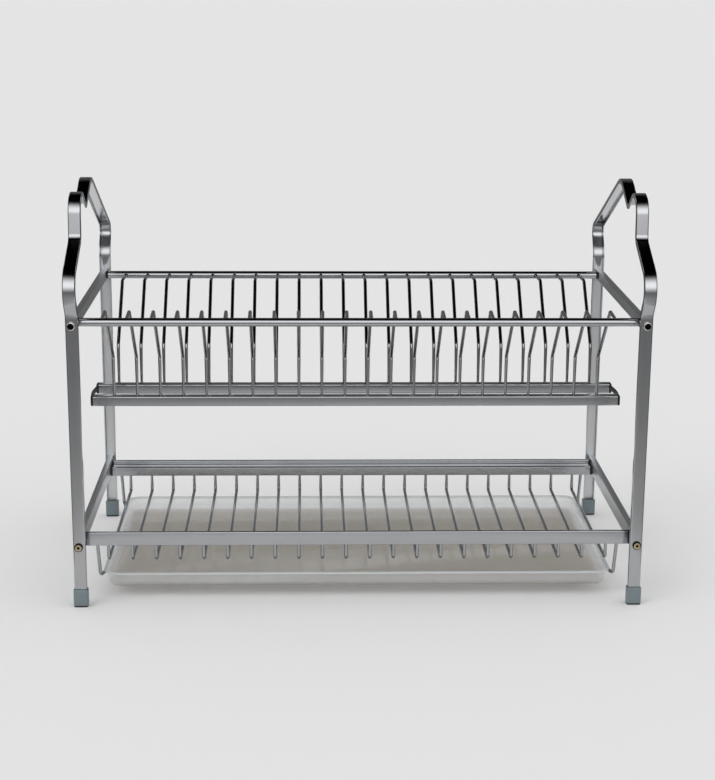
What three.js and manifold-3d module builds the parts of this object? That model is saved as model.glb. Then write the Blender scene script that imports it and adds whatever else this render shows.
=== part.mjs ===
// A two-tier dish drainer of aluminium channel, tube and wire, with a drip tray that slides out to
// the front. Millimetres, X to the right, Y to the rear, Z up. The origin is on the floor, in the
// middle of the four feet.

import * as THREE from 'three';
import { mergeVertices } from 'three/addons/utils/BufferGeometryUtils.js';
import Module from 'manifold-3d';

const wasm = await Module();
wasm.setup();

// Fits and cuts
const fitGap = 0.3;
const cutOverrun = 1;

// Side frames: each is one U channel bent into a front leg, a handle and a rear leg
const legSpacing = 540;
const frameDepth = 282;
const channelWidth = 12;
const channelDepth = 5;
const channelWall = 1.2;
const channelEdgeRound = 1.2;

// The handle's outline, run round circles; places are shares of its reach and of its height
const handleFlare = 12;
const handleStart = 6;
const handleHeight = 115.5;
const legBendRadius = 11;
const rearLegBendRadius = 18;
const frontBulgeRadius = 24;
const neckRadius = 8;
const humpRadius = 20;
const valleyRadius = 7;
const peakRadius = 30;
const rearBendRadius = 13;
const bulgeHeightShare = 0.242;
const neckPlaceShares = [-0.696, 0.649];
const humpPlaceShares = [-0.503, 0.788];
const valleyPlaceShares = [-0.317, 0.896];
const peakPlaceShare = -0.02;
const rearStartShare = 0.098;
const rearBendHeightShare = 0.327;
const bendRoomShare = 0.9;

// Foot caps
const footWidth = 14.2;
const footDepth = 10;
const footHeight = 17.5;
const footFloor = 3;
const footCornerRadius = 2;
const footBevel = 0.7;

// Side rails, which run from front to rear inside the channels
const sideRailOuterGap = 0.8;
const sideRailInnerGap = 2;
const sideRailEdge = 0.8;
const upperLevel = 279;
const upperRailHeight = 10.2;
const upperRailDrop = 0.8;
const lowerSideRailDrop = 0.4;
const lowerSideRailHeight = 14.9;

// Upper tubes
const tubeDiameter = 8.2;
const tubeWall = 1;
const tubeInset = 18.1;

// Lower rails: a box with a taller lip on its outer side and a groove behind the lip
const lowerRailBottom = 56;
const lowerRailDepth = 16;
const lowerRailInset = 26;
const lowerRailLedge = 9.5;
const lowerRailLip = 14;
const lowerRailWall = 1.4;
const lipThickness = 3;
const grooveWidth = 1.4;
const grooveDepth = 1.5;
const railEdge = 0.8;

// End plugs of tubes and lower rails
const plugFlange = 1.7;
const plugSpigot = 6;
const plugPinRadius = 1.5;
const plugPinLength = 3;

// Wires
const wireDiameter = 3.5;
const wireCount = 22;
const wireEndMargin = 19.4;

// Upper rack: wires from tube to bottom bar
const apexInset = 58.7;
const apexRise = 1.8;
const elbowInset = 0.4;
const elbowDrop = 56.35;
const apexBendRadius = 5;
const elbowBendRadius = 8;
const barCentreOffset = 25;
const barWireInset = 1.2;
const barDepth = 10;
const barHeight = 10.5;
const barDrop = 96.5;
const barWall = 1.3;
const barEdge = 1.6;
const barOverhang = 1.6;

// End pieces of the bottom bars
const endCapThickness = 2.2;
const endSpigot = 8;
const crossBarHeight = 6;
const crossBarSeat = 1.5;

// Lower rack: one U wire under each pair of holes
const lowerWireGap = 0.8;
const lowerWireDrop = 18.2;
const lowerWireBendRadius = 4.5;

// Drip tray hangers, which lean inwards; setbacks are from the middle of the lower rail
const hangerPlugGap = 1.7;
const hangerFootLean = 2;
const hangerRunLean = 5;
const hangerFootSetback = 1.5;
const hangerRunSetback = 11;
const hangerDrop = 33.6;
const hangerBendRadius = 4;

// Drip tray
const trayLength = 248;
const traySetback = 4;
const trayDepth = 15;
const trayWall = 1.5;
const trayRim = 1.2;
const trayFlange = 3;
const trayDraft = 2;
const trayCornerRadius = 12;
const trayEdgeRadius = 7;
const trayRunClearance = 0.5;

// Screws
const screwHeadRadius = 4.2;
const screwHeadHeight = 2.2;
const screwHeadRound = 1;
const screwShankRadius = 1.5;
const screwLength = 12;
const lowerScrewRise = 5.1;

// How finely round shapes are cut
const bendStep = THREE.MathUtils.degToRad(16);
const wireSides = 6;
const wireBendStep = THREE.MathUtils.degToRad(31);
const holeSides = 6;
const tubeSides = 12;
const screwSides = 8;
const cornerSteps = 3;
const trayCornerSteps = 5;

// Sizes that several pieces share
const legX = legSpacing / 2;
const legFace = frameDepth / 2;
const wireRadius = wireDiameter / 2;
const holeRadius = (wireRadius + fitGap) / Math.cos(Math.PI / holeSides);
const sideRailWidth = channelWidth - 2 * channelWall - sideRailOuterGap - sideRailInnerGap;
const railInnerX = legX - channelWidth / 2 + channelWall + sideRailInnerGap;
const railX = railInnerX + sideRailWidth / 2;
const plugInnerX = railInnerX - fitGap - plugFlange;
const tubeHalfLength = plugInnerX - fitGap;
const tubeOffset = legFace - tubeInset;
const lowerRailOffset = legFace - lowerRailInset;
const barHalfLength = tubeHalfLength + barOverhang;
const wirePitch = (2 * tubeHalfLength - 2 * wireEndMargin) / (wireCount - 1);
const lowerWireOffset = lowerRailOffset - lowerRailDepth / 2 + lowerRailWall + lowerWireGap + wireRadius;
const hangerX = plugInnerX - plugSpigot - hangerPlugGap - wireRadius;
const hangerRunX = hangerX - hangerRunLean;
const hangerRunHeight = lowerRailBottom - hangerDrop;
const lowerSideRailBottom = lowerRailBottom - lowerSideRailDrop;
const barTop = upperLevel - barDrop;
const handleReach = legFace + handleFlare;
const handleBase = upperLevel + handleStart;
const handleTop = handleBase + handleHeight;

const LEFT = -1;
const RIGHT = 1;
const FRONT = -1;
const REAR = 1;
const TURN_LEFT = 1;
const TURN_RIGHT = -1;
const X = new THREE.Vector3(1, 0, 0);
const Y = new THREE.Vector3(0, 1, 0);
const Z = new THREE.Vector3(0, 0, 1);

// Materials
const aluminium = { color: '#b9bbbe', roughness: 0.32, metalness: 1 };
const handleAluminium = { color: '#c4c6c9', roughness: 0.18, metalness: 1 };
const blackPlastic = { color: '#17181a', roughness: 0.5, metalness: 0 };
const footPlastic = { color: '#64757a', roughness: 0.45, metalness: 0 };
const trayPlastic = { color: '#a9a59e', roughness: 0.4, metalness: 0 };
const screwSteel = { color: '#232325', roughness: 0.35, metalness: 1 };

const drainer = new THREE.Group();

function add(name, geometry, finish) {
  const mesh = new THREE.Mesh(geometry, new THREE.MeshStandardMaterial(finish));
  mesh.name = name;
  drainer.add(mesh);
}

function sideName(side) {
  return side === LEFT ? 'left' : 'right';
}

function endName(end) {
  return end === FRONT ? 'front' : 'rear';
}

// Booleans on closed geometries
function toSolid(geometry) {
  const bare = new THREE.BufferGeometry();
  bare.setAttribute('position', geometry.getAttribute('position'));
  bare.setIndex(geometry.index);
  const merged = mergeVertices(bare);
  const mesh = new wasm.Mesh({
    numProp: 3,
    vertProperties: new Float32Array(merged.getAttribute('position').array),
    triVerts: new Uint32Array(merged.index.array),
  });
  return new wasm.Manifold(mesh);
}

function toGeometry(solid) {
  const mesh = solid.getMesh();
  const geometry = new THREE.BufferGeometry();
  geometry.setAttribute('position', new THREE.BufferAttribute(mesh.vertProperties, mesh.numProp));
  geometry.setIndex(new THREE.BufferAttribute(mesh.triVerts, 1));
  return geometry;
}

function cut(geometry, cutters) {
  let solid = toSolid(geometry);
  for (const cutter of cutters) {
    solid = solid.subtract(toSolid(cutter));
  }
  return toGeometry(solid);
}

function join(geometries) {
  let solid = toSolid(geometries[0]);
  for (const geometry of geometries.slice(1)) {
    solid = solid.add(toSolid(geometry));
  }
  return toGeometry(solid);
}

// Skins a row of rings, which all have the same number of points, and closes both ends with the
// triangles that the flat outline of the end rings needs.
function skin(rings, outline) {
  const count = outline.length;
  const indices = [];
  for (let r = 0; r < rings.length - 1; r += 1) {
    for (let i = 0; i < count; i += 1) {
      const j = (i + 1) % count;
      const low = r * count;
      const high = low + count;
      indices.push(low + i, low + j, high + j);
      indices.push(low + i, high + j, high + i);
    }
  }
  const last = (rings.length - 1) * count;
  for (const [i, j, k] of THREE.ShapeUtils.triangulateShape(outline, [])) {
    const turned = THREE.ShapeUtils.area([outline[i], outline[j], outline[k]]) > 0;
    const [a, b, c] = turned ? [i, j, k] : [k, j, i];
    indices.push(c, b, a);
    indices.push(last + a, last + b, last + c);
  }
  const geometry = new THREE.BufferGeometry().setFromPoints(rings.flat());
  geometry.setIndex(indices);
  return geometry;
}

// Sweeps a section, given counterclockwise, along stations with a direction across and one out
function sweep(section, stations) {
  const rings = stations.map(({ at, across, out }) => section.map(
    (point) => at.clone().addScaledVector(across, point.x).addScaledVector(out, point.y),
  ));
  return skin(rings, section);
}

function circle(radius, sides) {
  return Array.from({ length: sides }, (_, i) => {
    const angle = (i * 2 * Math.PI) / sides;
    return new THREE.Vector2(radius * Math.cos(angle), radius * Math.sin(angle));
  });
}

// A straight bar with an outline in the other two axes, centred on the plane across its length
function bar(axis, outline, holes, length) {
  const shape = new THREE.Shape(outline);
  shape.holes = holes.map((hole) => new THREE.Path(hole));
  const geometry = new THREE.ExtrudeGeometry(shape, { depth: length, bevelEnabled: false });
  geometry.translate(0, 0, -length / 2);
  const turn = new THREE.Matrix4();
  if (axis === X) {
    turn.makeBasis(Y, Z, X);
  } else if (axis === Y) {
    turn.makeBasis(X, Z, Y.clone().negate());
  }
  return geometry.applyMatrix4(turn);
}

function rod(axis, radius, sides, length) {
  return bar(axis, circle(radius, sides), [], length);
}

function rectangle(width, height) {
  return chamfered(width, height, 0);
}

function chamfered(width, height, edge) {
  const x = width / 2;
  const y = height / 2;
  if (edge === 0) {
    return [[-x, -y], [x, -y], [x, y], [-x, y]].map(([u, v]) => new THREE.Vector2(u, v));
  }
  return [
    [-x + edge, -y], [x - edge, -y], [x, -y + edge], [x, y - edge],
    [x - edge, y], [-x + edge, y], [-x, y - edge], [-x, -y + edge],
  ].map(([u, v]) => new THREE.Vector2(u, v));
}

function roundedRectangle(halfX, halfY, radius, steps) {
  const points = [];
  const corners = [[1, 1], [-1, 1], [-1, -1], [1, -1]];
  corners.forEach(([sx, sy], corner) => {
    for (let i = 0; i <= steps; i += 1) {
      const angle = ((corner + i / steps) * Math.PI) / 2;
      points.push(new THREE.Vector2(
        sx * (halfX - radius) + radius * Math.cos(angle),
        sy * (halfY - radius) + radius * Math.sin(angle),
      ));
    }
  });
  return points;
}

// A wire along straight stretches, with a round bend of its own radius at each inner corner
function wire(corners, bendRadii) {
  const heading = (i) => corners[i + 1].clone().sub(corners[i]).normalize();
  const points = [{ at: corners[0], along: heading(0) }];
  for (let i = 1; i < corners.length - 1; i += 1) {
    const before = heading(i - 1);
    const after = heading(i);
    const swing = before.angleTo(after);
    const steps = Math.ceil(swing / wireBendStep);
    const reach = bendRadii[i - 1] * Math.tan(swing / 2);
    const bend = new THREE.QuadraticBezierCurve3(
      corners[i].clone().addScaledVector(before, -reach),
      corners[i],
      corners[i].clone().addScaledVector(after, reach),
    );
    for (let k = 0; k <= steps; k += 1) {
      points.push({ at: bend.getPoint(k / steps), along: bend.getTangent(k / steps) });
    }
  }
  points.push({ at: corners[corners.length - 1], along: heading(corners.length - 2) });

  const across = X.clone().addScaledVector(points[0].along, -X.dot(points[0].along)).normalize();
  const turn = new THREE.Quaternion();
  const stations = points.map(({ at, along }, i) => {
    if (i > 0) {
      across.applyQuaternion(turn.setFromUnitVectors(points[i - 1].along, along));
    }
    return { at, across: across.clone(), out: along.clone().cross(across) };
  });
  return sweep(circle(wireRadius, wireSides), stations);
}

function wireX(index) {
  return (index - (wireCount - 1) / 2) * wirePitch;
}

// A line pulled round a row of circles, as a belt on pulleys, with the direction out at each point.
// It starts and ends in a circle of no radius.
function beltPath(circles) {
  const normals = [];
  for (let i = 0; i < circles.length - 1; i += 1) {
    const from = circles[i];
    const to = circles[i + 1];
    const span = new THREE.Vector2(to.y - from.y, to.z - from.z);
    const lean = (to.turn * to.radius - from.turn * from.radius) / span.length();
    const side = Math.sqrt(1 - lean * lean);
    span.normalize();
    normals.push(new THREE.Vector2(span.x * lean - span.y * side, span.y * lean + span.x * side));
  }
  const path = [];
  circles.forEach(({ y, z, radius, turn }, i) => {
    const first = normals[Math.max(i - 1, 0)];
    const last = normals[Math.min(i, normals.length - 1)];
    const start = first.angle();
    const swing = Math.atan2(first.cross(last), first.dot(last));
    const steps = Math.max(Math.ceil(Math.abs(swing) / bendStep), i > 0 && i < normals.length ? 1 : 0);
    for (let k = 0; k <= steps; k += 1) {
      const angle = start + (steps > 0 ? (swing * k) / steps : 0);
      const out = new THREE.Vector3(0, Math.cos(angle), Math.sin(angle));
      path.push({ at: new THREE.Vector3(0, y, z).addScaledVector(out, -turn * radius), out });
    }
  });
  return path;
}

// Side frames
// The bend where a leg starts to lean out, no rounder than the room below the bulge allows
function legBend(largestRadius, rise, bulgeRadius) {
  const flare = handleReach - legFace;
  const room = (rise * rise + flare * flare) / (2 * flare) - bulgeRadius;
  return Math.min(largestRadius, room * bendRoomShare);
}

function handleCircles() {
  const height = (share) => handleBase + share * handleHeight;
  const [neckY, neckZ] = neckPlaceShares;
  const [humpY, humpZ] = humpPlaceShares;
  const [valleyY, valleyZ] = valleyPlaceShares;
  const legEnd = footFloor + fitGap;
  const rearStart = height(rearStartShare);
  const frontBend = legBend(legBendRadius, height(bulgeHeightShare) - handleBase, frontBulgeRadius);
  const rearRise = height(rearBendHeightShare) - rearStart;
  const rearBend = legBend(rearLegBendRadius, rearRise, rearBendRadius);
  return [
    { y: -legFace, z: legEnd, radius: 0, turn: TURN_LEFT },
    { y: -legFace - frontBend, z: handleBase, radius: frontBend, turn: TURN_LEFT },
    {
      y: frontBulgeRadius - handleReach,
      z: height(bulgeHeightShare),
      radius: frontBulgeRadius,
      turn: TURN_RIGHT,
    },
    { y: neckY * handleReach, z: height(neckZ), radius: neckRadius, turn: TURN_LEFT },
    { y: humpY * handleReach, z: height(humpZ), radius: humpRadius, turn: TURN_RIGHT },
    { y: valleyY * handleReach, z: height(valleyZ), radius: valleyRadius, turn: TURN_LEFT },
    { y: peakPlaceShare * handleReach, z: handleTop - peakRadius, radius: peakRadius, turn: TURN_RIGHT },
    {
      y: handleReach - rearBendRadius,
      z: height(rearBendHeightShare),
      radius: rearBendRadius,
      turn: TURN_RIGHT,
    },
    { y: legFace + rearBend, z: rearStart, radius: rearBend, turn: TURN_LEFT },
    { y: legFace, z: legEnd, radius: 0, turn: TURN_LEFT },
  ];
}

function channelSection() {
  const half = channelWidth / 2;
  const inner = half - channelWall;
  const flat = half - channelEdgeRound;
  const roundShare = 1 - Math.SQRT1_2;
  const eased = channelEdgeRound * roundShare;
  return [
    [-half, -channelDepth], [-inner, -channelDepth], [-inner, -channelWall],
    [inner, -channelWall], [inner, -channelDepth], [half, -channelDepth],
    [half, -channelEdgeRound], [half - eased, -eased], [flat, 0],
    [-flat, 0], [-half + eased, -eased], [-half, -channelEdgeRound],
  ].map(([u, v]) => new THREE.Vector2(u, v));
}

const webHoleRadius = (screwShankRadius + fitGap) / Math.cos(Math.PI / holeSides);
const lowerScrewLevel = lowerSideRailBottom + lowerScrewRise;
const screwLevels = { upper: upperLevel, lower: lowerScrewLevel };

for (const side of [LEFT, RIGHT]) {
  const across = X.clone().negate();
  const stations = beltPath(handleCircles()).map(({ at, out }) => (
    { at: at.setX(side * legX), across, out }
  ));
  const holes = [];
  for (const end of [FRONT, REAR]) {
    for (const level of Object.values(screwLevels)) {
      const hole = rod(Y, webHoleRadius, holeSides, channelWall + 2 * cutOverrun);
      holes.push(hole.translate(side * railX, end * (legFace - channelWall / 2), level));
    }
  }
  add(`${sideName(side)}_side_frame`, cut(sweep(channelSection(), stations), holes), handleAluminium);
}

// Foot caps, each a cup with a slot for the end of its leg
for (const side of [LEFT, RIGHT]) {
  for (const end of [FRONT, REAR]) {
    const outline = roundedRectangle(
      footWidth / 2 - footBevel,
      footDepth / 2 - footBevel,
      footCornerRadius,
      cornerSteps,
    );
    const cap = new THREE.ExtrudeGeometry(new THREE.Shape(outline), {
      depth: footHeight - 2 * footBevel,
      bevelThickness: footBevel,
      bevelSize: footBevel,
      bevelSegments: 1,
    });
    const legMiddle = end * (legFace - channelDepth / 2);
    cap.translate(side * legX, legMiddle, footBevel);
    const pocketHeight = footHeight - footFloor + cutOverrun;
    const pocketOutline = rectangle(channelWidth + 2 * fitGap, channelDepth + 2 * fitGap);
    const pocket = bar(Z, pocketOutline, [], pocketHeight);
    pocket.translate(side * legX, legMiddle, footFloor + pocketHeight / 2);
    add(`foot_cap_${endName(end)}_${sideName(side)}`, cut(cap, [pocket]), footPlastic);
  }
}

// Side rails, with a hole for a screw in each end and one for a plug pin near each end
function sideRail(side, middle, height, screwLevel, pinOffset, pinLevel) {
  const length = 2 * (legFace - channelWall - fitGap);
  const rail = bar(Y, chamfered(sideRailWidth, height, sideRailEdge), [], length);
  rail.translate(side * railX, 0, middle);
  const boreLength = screwLength + cutOverrun;
  const pinHoleRadius = (plugPinRadius + fitGap) / Math.cos(Math.PI / holeSides);
  const pinHoleLength = plugPinLength + fitGap + cutOverrun;
  const holes = [];
  for (const end of [FRONT, REAR]) {
    const bore = rod(Y, webHoleRadius, holeSides, boreLength + cutOverrun);
    holes.push(bore.translate(side * railX, end * (length / 2 - (boreLength - cutOverrun) / 2), screwLevel));
    const pinHole = rod(X, pinHoleRadius, holeSides, pinHoleLength);
    const pinHoleX = railInnerX - cutOverrun + pinHoleLength / 2;
    holes.push(pinHole.translate(side * pinHoleX, end * pinOffset, pinLevel));
  }
  return cut(rail, holes);
}

const upperRailMiddle = upperLevel - upperRailDrop;
const lowerSideRailMiddle = lowerSideRailBottom + lowerSideRailHeight / 2;
const hollowHeight = lowerRailLedge - grooveDepth - 2 * lowerRailWall;
const hollowMiddle = lowerRailBottom + lowerRailWall + hollowHeight / 2;

for (const side of [LEFT, RIGHT]) {
  add(
    `upper_side_rail_${sideName(side)}`,
    sideRail(side, upperRailMiddle, upperRailHeight, upperLevel, tubeOffset, upperLevel),
    aluminium,
  );
  add(
    `lower_side_rail_${sideName(side)}`,
    sideRail(side, lowerSideRailMiddle, lowerSideRailHeight, lowerScrewLevel, lowerRailOffset, hollowMiddle),
    aluminium,
  );
}

// Upper tubes, with a hole for each wire in the side that faces the rack
for (const end of [FRONT, REAR]) {
  const outer = circle(tubeDiameter / 2, tubeSides);
  const bore = circle(tubeDiameter / 2 - tubeWall, tubeSides);
  const tube = bar(X, outer, [bore], 2 * tubeHalfLength).translate(0, end * tubeOffset, upperLevel);
  const holes = [];
  for (let i = 0; i < wireCount; i += 1) {
    const hole = rod(Y, holeRadius, holeSides, tubeDiameter / 2 + cutOverrun);
    const holeMiddle = tubeOffset - (tubeDiameter / 2 + cutOverrun) / 2;
    holes.push(hole.translate(wireX(i), end * holeMiddle, upperLevel));
  }
  add(`upper_${endName(end)}_tube`, cut(tube, holes), aluminium);
}

// Plugs: a flange between the end and the side rail, a spigot in the end and a pin in the rail
function plug(side, flange, spigot, middle, level, offset) {
  const flangeMiddle = plugInnerX + plugFlange / 2;
  const spigotMiddle = plugInnerX - plugSpigot + spigotLength() / 2;
  const pinLength = plugPinLength + fitGap + plugFlange / 2;
  const pin = rod(X, plugPinRadius, holeSides, pinLength);
  return join([
    flange.translate(side * flangeMiddle, offset, middle),
    spigot.translate(side * spigotMiddle, offset, level),
    pin.translate(side * (plugInnerX + plugFlange / 2 + pinLength / 2), offset, level),
  ]);
}

function spigotLength() {
  return plugSpigot + plugFlange / 2;
}

for (const side of [LEFT, RIGHT]) {
  for (const end of [FRONT, REAR]) {
    const flange = rod(X, tubeDiameter / 2, tubeSides, plugFlange);
    const spigotRadius = tubeDiameter / 2 - tubeWall - fitGap;
    const spigot = rod(X, spigotRadius, tubeSides, spigotLength());
    add(
      `tube_plug_${endName(end)}_${sideName(side)}`,
      plug(side, flange, spigot, upperLevel, upperLevel, end * tubeOffset),
      blackPlastic,
    );
  }
}

// Lower rails
function lowerRailOutline(end) {
  const half = lowerRailDepth / 2;
  const lipInner = half - lipThickness;
  const ledgeEnd = lipInner - grooveWidth;
  return [
    [-half, railEdge], [-half + railEdge, 0], [half - railEdge, 0], [half, railEdge],
    [half, lowerRailLip - railEdge], [half - railEdge, lowerRailLip],
    [lipInner + railEdge, lowerRailLip], [lipInner, lowerRailLip - railEdge],
    [lipInner, lowerRailLedge - grooveDepth], [ledgeEnd, lowerRailLedge - grooveDepth],
    [ledgeEnd, lowerRailLedge], [-half + railEdge, lowerRailLedge], [-half, lowerRailLedge - railEdge],
  ].map(([u, v]) => new THREE.Vector2(end * u, v));
}

const hollowDepth = lowerRailDepth - 2 * lowerRailWall;

for (const end of [FRONT, REAR]) {
  const outline = lowerRailOutline(end).map((point) => point.setY(point.y + lowerRailBottom));
  const hollow = rectangle(hollowDepth, hollowHeight).map((point) => point.setY(point.y + hollowMiddle));
  const rail = bar(X, outline, [hollow], 2 * tubeHalfLength).translate(0, end * lowerRailOffset, 0);
  const holes = [];
  const places = [];
  for (let i = 0; i < wireCount; i += 1) {
    places.push([wireX(i), lowerWireOffset]);
  }
  for (const side of [LEFT, RIGHT]) {
    places.push([side * hangerX, lowerRailOffset]);
  }
  for (const [x, offset] of places) {
    const hole = rod(Z, holeRadius, holeSides, lowerRailWall + 2 * cutOverrun);
    holes.push(hole.translate(x, end * offset, lowerRailBottom + lowerRailWall / 2));
  }
  add(`lower_${endName(end)}_rail`, cut(rail, holes), aluminium);

  for (const side of [LEFT, RIGHT]) {
    const flange = bar(X, lowerRailOutline(end), [], plugFlange);
    const spigotOutline = rectangle(hollowDepth - 2 * fitGap, hollowHeight - 2 * fitGap);
    const spigot = bar(X, spigotOutline, [], spigotLength());
    add(
      `rail_plug_${endName(end)}_${sideName(side)}`,
      plug(side, flange, spigot, lowerRailBottom, hollowMiddle, end * lowerRailOffset),
      blackPlastic,
    );
  }
}

// Plate racks: a hollow bottom bar with its row of bent wires, whose upper ends sit in a tube
const barMiddle = barTop - barHeight / 2;
const barHollow = { depth: barDepth - 2 * barWall, height: barHeight - 2 * barWall };

for (const end of [FRONT, REAR]) {
  const bottomBar = bar(
    X,
    chamfered(barDepth, barHeight, barEdge),
    [rectangle(barHollow.depth, barHollow.height)],
    2 * barHalfLength,
  );
  const pieces = [bottomBar.translate(0, end * barCentreOffset, barMiddle)];
  for (let i = 0; i < wireCount; i += 1) {
    const at = (offset, z) => new THREE.Vector3(wireX(i), end * offset, z);
    const apex = at(legFace - apexInset, upperLevel + apexRise);
    const elbow = at(barCentreOffset - elbowInset, upperLevel - elbowDrop);
    const corners = [
      at(tubeOffset - wireRadius, upperLevel),
      apex,
      elbow,
      at(barCentreOffset - barWireInset, barTop - barWall / 2),
    ];
    pieces.push(wire(corners, [apexBendRadius, elbowBendRadius]));
  }
  add(`${endName(end)}_plate_rack`, join(pieces), aluminium);
}

// End pieces, which plug the two bottom bars and tie them together
for (const side of [LEFT, RIGHT]) {
  const pieces = [];
  const capX = barHalfLength + fitGap + endCapThickness / 2;
  for (const end of [FRONT, REAR]) {
    const cap = bar(X, chamfered(barDepth, barHeight, barEdge), [], endCapThickness);
    pieces.push(cap.translate(side * capX, end * barCentreOffset, barMiddle));
    const spigotOutline = rectangle(barHollow.depth - 2 * fitGap, barHollow.height - 2 * fitGap);
    const reach = endSpigot + fitGap + endCapThickness / 2;
    const spigot = bar(X, spigotOutline, [], reach);
    pieces.push(spigot.translate(side * (capX - reach / 2), end * barCentreOffset, barMiddle));
  }
  const crossBar = bar(X, rectangle(2 * barCentreOffset, crossBarHeight), [], endCapThickness);
  const crossBarMiddle = barTop - barHeight + crossBarSeat + crossBarHeight / 2;
  pieces.push(crossBar.translate(side * capX, 0, crossBarMiddle));
  add(`rack_end_piece_${sideName(side)}`, join(pieces), blackPlastic);
}

// Lower rack wires
const railSeat = lowerRailBottom + lowerRailWall + wireRadius;
const lowerWireHeight = lowerRailBottom - lowerWireDrop;

for (let i = 0; i < wireCount; i += 1) {
  const at = (offset, z) => new THREE.Vector3(wireX(i), offset, z);
  const corners = [
    at(-lowerWireOffset, railSeat),
    at(-lowerWireOffset, lowerWireHeight),
    at(lowerWireOffset, lowerWireHeight),
    at(lowerWireOffset, railSeat),
  ];
  const number = String(i + 1).padStart(2, '0');
  const bends = [lowerWireBendRadius, lowerWireBendRadius];
  add(`lower_wire_${number}`, wire(corners, bends), aluminium);
}

// Tray hangers, whose straight runs carry the tray's flanges
for (const side of [LEFT, RIGHT]) {
  const at = (x, offset, z) => new THREE.Vector3(side * x, offset, z);
  const half = (end) => [
    at(hangerX, end * lowerRailOffset, railSeat),
    at(hangerX, end * lowerRailOffset, lowerRailBottom - wireRadius),
    at(hangerX - hangerFootLean, end * (lowerRailOffset - hangerFootSetback), hangerRunHeight),
    at(hangerRunX, end * (lowerRailOffset - hangerRunSetback), hangerRunHeight),
  ];
  const corners = [...half(FRONT), ...half(REAR).reverse()];
  const bends = Array(corners.length - 2).fill(hangerBendRadius);
  add(`tray_hanger_${sideName(side)}`, wire(corners, bends), aluminium);
}

// Drip tray: a shallow moulding with leaning walls and a narrow flange all round
function tray() {
  const rimZ = hangerRunHeight + wireRadius + fitGap;
  const trayBottom = rimZ - trayDepth;
  const wallX = hangerRunX - wireRadius - trayRunClearance;
  const wallY = trayLength / 2 - trayFlange;
  const ring = (inset, z) => roundedRectangle(
    wallX - inset,
    wallY - inset,
    Math.max(trayCornerRadius - inset, fitGap),
    trayCornerSteps,
  ).map((point) => new THREE.Vector3(point.x, point.y + traySetback, z));
  const roundShare = 1 - Math.SQRT1_2;
  const eased = trayEdgeRadius * roundShare;
  const innerFloor = trayBottom + trayWall;
  const innerDraft = trayDraft + trayWall;
  const rings = [
    ring(trayDraft + trayEdgeRadius, trayBottom),
    ring(trayDraft + eased, trayBottom + eased),
    ring(trayDraft, trayBottom + trayEdgeRadius),
    ring(0, rimZ),
    ring(-trayFlange, rimZ),
    ring(-trayFlange, rimZ + trayRim),
    ring(trayWall, rimZ + trayRim),
    ring(innerDraft, innerFloor + trayEdgeRadius),
    ring(innerDraft + eased, innerFloor + eased),
    ring(innerDraft + trayEdgeRadius, innerFloor),
  ];
  return skin(rings, rings[0].map((point) => new THREE.Vector2(point.x, point.y)));
}

add('drip_tray', tray(), trayPlastic);

// Screws, which run through the web of a leg into the end of a side rail
function screwProfile() {
  return [
    [0, -screwLength],
    [screwShankRadius, -screwLength + screwShankRadius],
    [screwShankRadius, 0],
    [screwHeadRadius, 0],
    [screwHeadRadius, screwHeadHeight - screwHeadRound],
    [screwHeadRadius - screwHeadRound, screwHeadHeight],
    [0, screwHeadHeight],
  ].map(([r, h]) => new THREE.Vector2(r, h));
}

for (const side of [LEFT, RIGHT]) {
  for (const end of [FRONT, REAR]) {
    for (const [row, level] of Object.entries(screwLevels)) {
      const screw = new THREE.LatheGeometry(screwProfile(), screwSides);
      if (end === FRONT) {
        screw.rotateZ(Math.PI);
      }
      screw.translate(side * railX, end * (legFace + fitGap), level);
      add(`screw_${row}_${endName(end)}_${sideName(side)}`, screw, screwSteel);
    }
  }
}

export default drainer;
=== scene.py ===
# %% [markdown]
# # A two-tier dish drainer in anodised aluminium
# The real drainer is made of a few aluminium profiles: a flat channel bent into legs and handle, round
# tube, a stepped rail, square bar and drawn wire. Plastic plugs close the cut ends, and a clear smoky
# tray catches the drips. Every piece here is made the way the workshop makes it: a section is drawn once
# and then swept along a line. The frame gives the place of each piece, so nothing is fitted by eye.

# %% The frame
import math

import bmesh
import bpy
from mathutils import Matrix, Vector


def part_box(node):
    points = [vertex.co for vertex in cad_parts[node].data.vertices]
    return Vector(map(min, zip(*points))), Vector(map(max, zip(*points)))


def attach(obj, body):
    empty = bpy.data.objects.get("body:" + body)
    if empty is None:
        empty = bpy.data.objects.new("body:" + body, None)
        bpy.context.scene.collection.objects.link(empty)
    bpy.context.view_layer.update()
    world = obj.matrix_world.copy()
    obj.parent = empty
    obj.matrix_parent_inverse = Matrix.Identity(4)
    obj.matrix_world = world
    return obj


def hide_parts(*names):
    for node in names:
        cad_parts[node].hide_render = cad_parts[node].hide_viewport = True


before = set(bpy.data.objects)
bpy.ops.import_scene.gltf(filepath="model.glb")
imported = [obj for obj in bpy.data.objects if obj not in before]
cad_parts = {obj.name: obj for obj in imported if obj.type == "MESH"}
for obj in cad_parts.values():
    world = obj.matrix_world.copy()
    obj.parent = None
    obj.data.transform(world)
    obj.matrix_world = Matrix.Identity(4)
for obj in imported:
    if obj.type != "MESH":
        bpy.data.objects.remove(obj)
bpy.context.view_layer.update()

MM = 0.001
LEFT, RIGHT, FRONT, REAR = -1, 1, -1, 1
SIDES = {LEFT: "left", RIGHT: "right"}
ENDS = {FRONT: "front", REAR: "rear"}
X, Y, Z = Vector((1, 0, 0)), Vector((0, 1, 0)), Vector((0, 0, 1))


def box(node):
    """A CAD node's lowest and highest corner, in millimetres."""
    low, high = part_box(node)
    return low / MM, high / MM


def x_ends(node, side):
    """Where a node of one side ends in x: its outer end, then the one nearer the middle."""
    low, high = box(node)
    return (low.x, high.x) if side == LEFT else (high.x, low.x)


def add_object(name, data):
    """A new object in the scene."""
    thing = bpy.data.objects.new(name, data)
    bpy.context.scene.collection.objects.link(thing)
    return thing


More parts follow.
